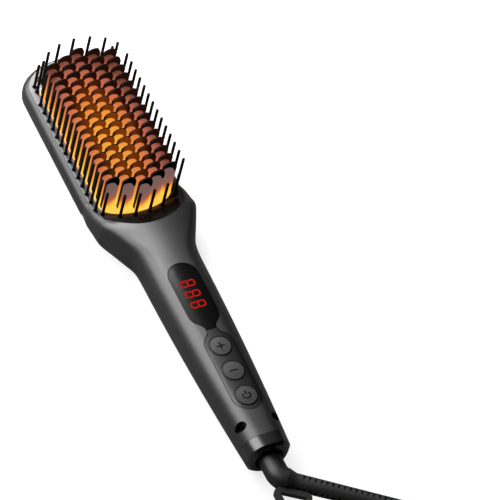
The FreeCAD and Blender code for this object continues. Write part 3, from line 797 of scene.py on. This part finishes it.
def prism(mesh: bmesh.types.BMesh, outline: Sequence[Point], low: float, high: float) -> None:
    """Add an upright solid on a convex plan.

    Args:
        mesh: Where it goes.
        outline: Corners of the plan, in order.
        low: Level of its underside.
        high: Level of its top.
    """
    under = [mesh.verts.new((x, y, low)) for x, y in outline]
    over = [mesh.verts.new((x, y, high)) for x, y in outline]
    mesh.faces.new(over)
    mesh.faces.new(list(reversed(under)))
    count = len(outline)
    for i in range(count):
        j = (i + 1) % count
        mesh.faces.new((under[i], under[j], over[j], over[i]))


def ring_arc(mesh: bmesh.types.BMesh, centre: Point, radius: float, wide: float, start: float,
             turn: float, low: float, high: float, steps: int = 28) -> None:
    """Add an upright band along an arc.

    Args:
        mesh: Where it goes.
        centre: Centre of the arc.
        radius: Radius of its middle line.
        wide: Width of the band.
        start: Angle of its first end, in radians.
        turn: Angle that it covers, in radians.
        low: Level of its underside.
        high: Level of its top.
        steps: Flat stretches along it.
    """
    rows = []
    for i in range(steps + 1):
        angle = start + turn * i / steps
        way = Vector((math.cos(angle), math.sin(angle)))
        near = Vector(centre) + way * (radius - wide / 2)
        far = Vector(centre) + way * (radius + wide / 2)
        rows.append([mesh.verts.new((*point, level)) for level in (low, high) for point in (near, far)])
    for first, second in zip(rows, rows[1:]):
        for a, b in ((0, 1), (1, 3), (3, 2), (2, 0)):
            mesh.faces.new((first[a], first[b], second[b], second[a]))
    mesh.faces.new([rows[0][k] for k in (0, 2, 3, 1)])
    mesh.faces.new([rows[-1][k] for k in (0, 1, 3, 2)])


def bar_outline(centre: Point, length: float, wide: float, angle: float = 0.0,
                taper: float = 0.0) -> list[Point]:
    """Plan of a straight bar, with pointed ends if it has a taper.

    Args:
        centre: Its middle.
        length: From end to end.
        wide: Its width.
        angle: Its turn from +X, in radians.
        taper: How far each end narrows to its point.

    Returns:
        The corners in order.
    """
    half = length / 2
    side = wide / 2
    if taper:
        corners = [(-half, 0.0), (-half + taper, -side), (half - taper, -side), (half, 0.0),
                   (half - taper, side), (-half + taper, side)]
    else:
        corners = [(-half, -side), (half, -side), (half, side), (-half, side)]
    turned = Matrix.Rotation(angle, 2)
    return [tuple(turned @ Vector(corner) + Vector(centre)) for corner in corners]


class Finish(Enum):
    """Finishes that take no measures from a piece."""

    SHELL = Plastic("satin_charcoal", (0.005, 0.005, 0.0053), 0.43, crown=Crown())
    # The panel and the window carry painted shade beside their neighbours.
    PANEL = Plastic("panel_black", (0.003, 0.003, 0.0032), 0.34, 0.42, crown=Crown(), painted_shade_reach=1.6 * MM)
    WINDOW = Plastic("window_black", (0.0015, 0.0015, 0.0015), 0.18, 0.36, haze=0.02,
                     grain_strength=0.01, crown=Crown(), painted_shade_reach=1.6 * MM)
    GLOSS = Plastic("gloss_black", (0.004, 0.004, 0.0045), 0.27, 0.6, haze=0.03,
                    grain_strength=0.01, crown=Crown())
    PIN = Plastic("pin_black", (0.002, 0.002, 0.002), 0.55, 0.1)
    OUTLET = Plastic("outlet_black", (0.005, 0.005, 0.005), 0.42, 0.3)
    RUBBER = Plastic("sleeve_rubber", (0.008, 0.008, 0.008), 0.5, 0.4, grain_strength=0.2)
    MARK = Plastic("mark_black", DEEP_BLACK, 0.6, 0.02)
    # Near black, so the screw heads look as dark as the shaded recesses round them: painted shade.
    SCREW = Metal("darkened_screw_steel", (0.02, 0.02, 0.021), 0.55)
    STEEL = Metal("clamp_steel", (0.56, 0.56, 0.55), 0.32)
    BRASS = Metal("contact_brass", (0.78, 0.56, 0.22), 0.28)
    CERAMIC = Plastic("heater_ceramic", (0.72, 0.7, 0.66), 0.6)
    MICA = Plastic("mica", (0.5, 0.42, 0.3), 0.45)
    BOARD = Plastic("circuit_board", (0.02, 0.12, 0.05), 0.4)
    BLOCK = Plastic("component_black", (0.02, 0.02, 0.02), 0.5)
    FILM = Plastic("capacitor_film", (0.4, 0.24, 0.03), 0.35)
    NYLON = Plastic("bearing_nylon", (0.62, 0.61, 0.56), 0.42)
    DIGIT = Lamp("digit_red", (0.56, 0.014, 0.006))


class Finishes:
    """Materials, each made once."""

    def __init__(self) -> None:
        """Start with none."""
        self.made: dict[str, bpy.types.Material] = {}

    def get(self, finish: Finish) -> bpy.types.Material:
        """Find a finish's material, or make it.

        Args:
            finish: The finish.

        Returns:
            Its material.
        """
        if finish.name not in self.made:
            self.made[finish.name] = finish.value.build()
        return self.made[finish.name]


@dataclass
class Casing:
    """Two shells, their screws and what is inside them."""

    finishes: Finishes
    dress_list: dict[Finish, tuple[str, ...]] = field(default_factory=lambda: {
        Finish.SHELL: ("front_shell", "back_shell"),
        Finish.SCREW: ("head_screws", "case_screws", "board_screws"),
        Finish.STEEL: ("heater_clamp",),
        Finish.CERAMIC: ("ceramic_heater",),
        Finish.MICA: ("mica_sheet", "thermal_fuse", "heat_sensor"),
        Finish.BOARD: ("control_board", "power_board"),
        Finish.BLOCK: ("ion_generator", "triac", "tact_switches", "display_module"),
        Finish.FILM: ("capacitor",),
        Finish.NYLON: ("contact_carrier",),
        Finish.BRASS: ("slip_rings", "contact_springs"),
    })

    def dress(self) -> None:
        """Give every node of the casing its finish."""
        for finish, nodes in self.dress_list.items():
            for node in nodes:
                coat_node(node, self.finishes.get(finish))


@dataclass
class BristleHead:
    """Bed, plate, blades with a painted glow, and guard pins."""

    finishes: Finishes
    column_pitch: float = 8.3 * MM
    row_pitch: float = 5.64 * MM
    fin_half: float = 3.7 * MM
    crown_tall: float = 3.4 * MM
    fin_crease_deg: float = 20.0
    # Where the painted glow on the blades is brightest, and how far it reaches.
    hot_x: float = -5 * MM
    hot_before_middle: float = 10 * MM
    hot_across: float = 24 * MM
    hot_along: float = 55 * MM
    bed_colour: Colour = (0.009, 0.0085, 0.0085)
    bed_painted_glow: Colour = (0.05, 0.017, 0.004)
    bed_fade: float = 2.2 * MM
    bed_painted_glow_half: float = 20 * MM
    bed_crown: Crown = Crown(head=12.0)

    def dress(self) -> None:
        """Give every node of the head its finish."""
        low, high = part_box("heating_plate")
        coat_node("heating_fins", self._fin_look().build(), self.fin_crease_deg)
        coat_node("heating_plate", PaintedGlowPlate("painted_glow_plate", low.y, high.y).build())
        bed = PaintedGlowBed("bristle_bed", self.bed_colour, self.bed_painted_glow, front_y=low.y, fade=self.bed_fade,
                     half_wide=self.bed_painted_glow_half, crown=self.bed_crown)
        coat_node("bristle_bed", bed.build())
        for node in ("cool_pins", "short_pins"):
            coat_node(node, self.finishes.get(Finish.PIN))
        coat_node("ion_grille", self.finishes.get(Finish.PANEL))

    def _fin_look(self) -> PaintedGlowFins:
        """Work out the blades' finish from their box.

        Returns:
            The finish.
        """
        low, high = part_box("heating_fins")
        middle = (low.y + high.y) / 2
        return PaintedGlowFins(
            "painted_glow_fins", base=low.z, top=high.z, half_wide=self.fin_half, crown_tall=self.crown_tall,
            front_y=low.y, column_pitch=self.column_pitch,
            stagger=self.row_pitch / 2 / self.column_pitch,
            hot_x=self.hot_x, hot_y=middle - self.hot_before_middle,
            reach_across=self.hot_across, reach_along=self.hot_along)


@dataclass
class Display:
    """Glossy window with three seven-segment digits that read along the handle."""

    finishes: Finishes
    digit_tall: float = 8.5 * MM
    digit_wide: float = 4.2 * MM
    digit_pitch: float = 6.8 * MM
    bar_wide: float = 0.8 * MM
    bar_gap: float = 0.2 * MM
    middle_past: float = 20.0 * MM
    rise: float = 0.05 * MM
    sunk: float = 0.03 * MM

    def build(self) -> None:
        """Dress the window and lay the digits on it."""
        coat_node("display_window", self.finishes.get(Finish.WINDOW))
        _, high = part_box("display_window")
        middle = high.y - self.middle_past
        mesh = bmesh.new()
        for place in (-1, 0, 1):
            y = middle + place * self.digit_pitch
            self._digit(mesh, y, high.z - self.sunk, high.z + self.rise)
        new_piece("display_digits", mesh, self.finishes.get(Finish.DIGIT), "casing")

    def _digit(self, mesh: bmesh.types.BMesh, middle: float, low: float, high: float) -> None:
        """Add the seven bars of one digit.

        Args:
            mesh: Where they go.
            middle: Y of the digit's middle.
            low: Level of their underside.
            high: Level of their top.
        """
        half_tall = self.digit_tall / 2 - self.bar_wide / 2
        half_wide = self.digit_wide / 2 - self.bar_wide / 2
        taper = self.bar_wide / 2
        for x in (-half_tall, 0.0, half_tall):
            length = 2 * half_wide - self.bar_gap
            bar = bar_outline((x, middle), length, self.bar_wide, math.pi / 2, taper)
            prism(mesh, bar, low, high)
        for x in (-half_tall / 2, half_tall / 2):
            for y in (-half_wide, half_wide):
                length = half_tall - self.bar_gap
                bar = bar_outline((x, middle + y), length, self.bar_wide, 0.0, taper)
                prism(mesh, bar, low, high)


class Symbol(Enum):
    """Marks on the three keys, by the key's node."""

    PLUS = "plus_button"
    MINUS = "minus_button"
    POWER = "power_button"


@dataclass
class Keys:
    """Button panel and the three keys with their marks."""

    finishes: Finishes
    mark_long: float = 4.6 * MM
    mark_wide: float = 0.75 * MM
    power_radius: float = 2.0 * MM
    power_gap: float = math.radians(50)
    stem_out: float = 1.5 * MM
    stem_long: float = 2.4 * MM
    rise: float = 0.04 * MM
    sunk: float = 0.03 * MM

    def build(self) -> None:
        """Dress the panel and the keys and add the marks."""
        coat_node("button_panel", self.finishes.get(Finish.PANEL))
        for symbol in Symbol:
            low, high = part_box(symbol.value)
            centre = ((low.x + high.x) / 2, (low.y + high.y) / 2)
            coat_node(symbol.value, KeyTop(symbol.value + "_charcoal", centre).build())
            mesh = self._mark(symbol, centre, high.z - self.sunk, high.z + self.rise)
            body = symbol.value.replace("button", "key")
            new_piece(symbol.value + "_mark", mesh, self.finishes.get(Finish.MARK), body)

    def _mark(self, symbol: Symbol, centre: Point, low: float, high: float) -> bmesh.types.BMesh:
        """Make one mark.

        Args:
            symbol: Which mark.
            centre: The key's middle.
            low: Level of its underside.
            high: Level of its top.

        Returns:
            Its geometry.
        """
        mesh = bmesh.new()
        if symbol is Symbol.POWER:
            ring_arc(mesh, centre, self.power_radius, self.mark_wide, math.pi / 2 + self.power_gap,
                     2 * math.pi - 2 * self.power_gap, low, high)
            stem = (centre[0], centre[1] + self.stem_out)
            prism(mesh, bar_outline(stem, self.stem_long, self.mark_wide, math.pi / 2), low, high)
            return mesh
        prism(mesh, bar_outline(centre, self.mark_long, self.mark_wide), low, high)
        if symbol is Symbol.PLUS:
            reach = (self.mark_long - self.mark_wide) / 2
            for side in (-1, 1):
                middle = (centre[0], centre[1] + side * (reach + self.mark_wide) / 2)
                prism(mesh, bar_outline(middle, reach, self.mark_wide, math.pi / 2), low, high)
        return mesh


@dataclass
class CordOutlet:
    """End cap, swivelling elbow, slotted sleeve and hanging loop."""

    finishes: Finishes

    def dress(self) -> None:
        """Give every node of the outlet its finish."""
        coat_node("end_cap", self.finishes.get(Finish.GLOSS))
        for node in ("swivel_bush", "swivel_elbow", "hang_loop"):
            coat_node(node, self.finishes.get(Finish.OUTLET))
        coat_node("strain_relief", self.finishes.get(Finish.RUBBER))


@dataclass(frozen=True)
class SoftLight:
    """One soft lamp of the studio."""

    name: str
    place: tuple[float, float, float]
    wide: float
    tall: float
    watts: float


@dataclass
class Studio:
    """Camera, pale floor, soft lamps and white surroundings.

    The camera's angles are in degrees and its lens is in millimetres.
    """

    azimuth: float = -38.3
    elevation: float = 52.5
    roll: float = 16.5
    distance: float = 2.1856
    lens: float = 300.0
    sight: float = 100.0
    target: tuple[float, float, float] = (42.5 * MM, -17.75 * MM, 20.0 * MM)
    floor_half: float = 3.0
    floor_drop: float = 0.2 * MM
    floor_thick: float = 10 * MM
    floor_glow: float = 0.72
    floor_white: float = 0.82
    floor_mirrored: float = 0.1
    lamps: tuple[SoftLight, ...] = (
        SoftLight("key", (-0.75, 0.62, 0.8), 1.5, 1.3, 52.0),
        SoftLight("top", (0.01, 0.3, 0.3), 0.18, 0.26, 3.8),
    )

    def build(self) -> None:
        """Make the whole studio."""
        scene = bpy.context.scene
        scene.view_settings.view_transform = "Standard"
        self._camera(scene)
        self._floor(scene)
        self._world(scene)
        for lamp in self.lamps:
            self._lamp(scene, lamp)

    def _camera(self, scene: bpy.types.Scene) -> None:
        """Place the camera by its angles and its distance from the target.

        Args:
            scene: The scene.
        """
        data = bpy.data.cameras.new("camera")
        data.lens = self.lens
        data.clip_end = self.sight
        item = bpy.data.objects.new("camera", data)
        scene.collection.objects.link(item)
        turn, lift, roll = map(math.radians, (self.azimuth, self.elevation, self.roll))
        out = math.cos(lift)
        back = Vector((math.sin(turn) * out, -math.cos(turn) * out, math.sin(lift)))
        level = Vector((math.cos(turn), math.sin(turn), 0.0))
        right = level * math.cos(roll) + back.cross(level) * math.sin(roll)
        up = back.cross(right)
        facing = Matrix((right, up, back)).transposed().to_4x4()
        item.matrix_world = Matrix.Translation(Vector(self.target) + back * self.distance) @ facing
        scene.camera = item

    def _floor(self, scene: bpy.types.Scene) -> None:
        """Lay the pale floor, white to the camera apart from a soft shadow.

        Args:
            scene: The scene.
        """
        mesh = bmesh.new()
        square = bar_outline((0.0, 0.0), 2 * self.floor_half, 2 * self.floor_half)
        prism(mesh, square, -self.floor_drop - self.floor_thick, -self.floor_drop)
        data = bpy.data.meshes.new("floor")
        mesh.to_mesh(data)
        mesh.free()
        item = bpy.data.objects.new("floor", data)
        scene.collection.objects.link(item)
        material, graph = fresh_material("floor_white")
        glossy = graph.node("ShaderNodeLightPath", output="Is Glossy Ray")
        shade = graph.mix(glossy, scaled(WHITE, self.floor_white), scaled(WHITE, self.floor_mirrored))
        matt = graph.node("ShaderNodeBsdfDiffuse", inputs={"Color": shade})
        white = graph.node("ShaderNodeEmission", inputs={"Color": rgba(WHITE), "Strength": 1.0})
        graph.surface(graph.mix_shaders(self._seen(graph) * self.floor_glow, matt, white))
        data.materials.append(material)

    @staticmethod
    def _seen(graph: Graph) -> Signal:
        """1 for rays that come straight from the camera."""
        return graph.node("ShaderNodeLightPath", output="Is Camera Ray")

    def _world(self, scene: bpy.types.Scene) -> None:
        """Make white surroundings that only the camera sees.

        Args:
            scene: The scene.
        """
        world = bpy.data.worlds.new("studio")
        world.use_nodes = True
        scene.world = world
        graph = Graph(world.node_tree)
        white = graph.node("ShaderNodeBackground", inputs={
            "Color": rgba(WHITE), "Strength": self._seen(graph)})
        graph.surface(white, "ShaderNodeOutputWorld")

    @staticmethod
    def _lamp(scene: bpy.types.Scene, lamp: SoftLight) -> None:
        """Hang one soft lamp that points at the brush.

        Args:
            scene: The scene.
            lamp: Its place, size and power.
        """
        data = bpy.data.lights.new(lamp.name, "AREA")
        data.shape = "RECTANGLE"
        data.size = lamp.wide
        data.size_y = lamp.tall
        data.energy = lamp.watts
        item = bpy.data.objects.new(lamp.name, data)
        scene.collection.objects.link(item)
        item.location = lamp.place
        item.rotation_euler = (-Vector(lamp.place)).to_track_quat("-Z", "Y").to_euler()


def main() -> None:
    """Dress the brush and set up its studio."""
    logging.basicConfig(level=logging.INFO, format="%(message)s")
    finishes = Finishes()
    Casing(finishes).dress()
    BristleHead(finishes).dress()
    Display(finishes).build()
    Keys(finishes).build()
    CordOutlet(finishes).dress()
    Studio().build()


if __name__ == "__main__":
    main()
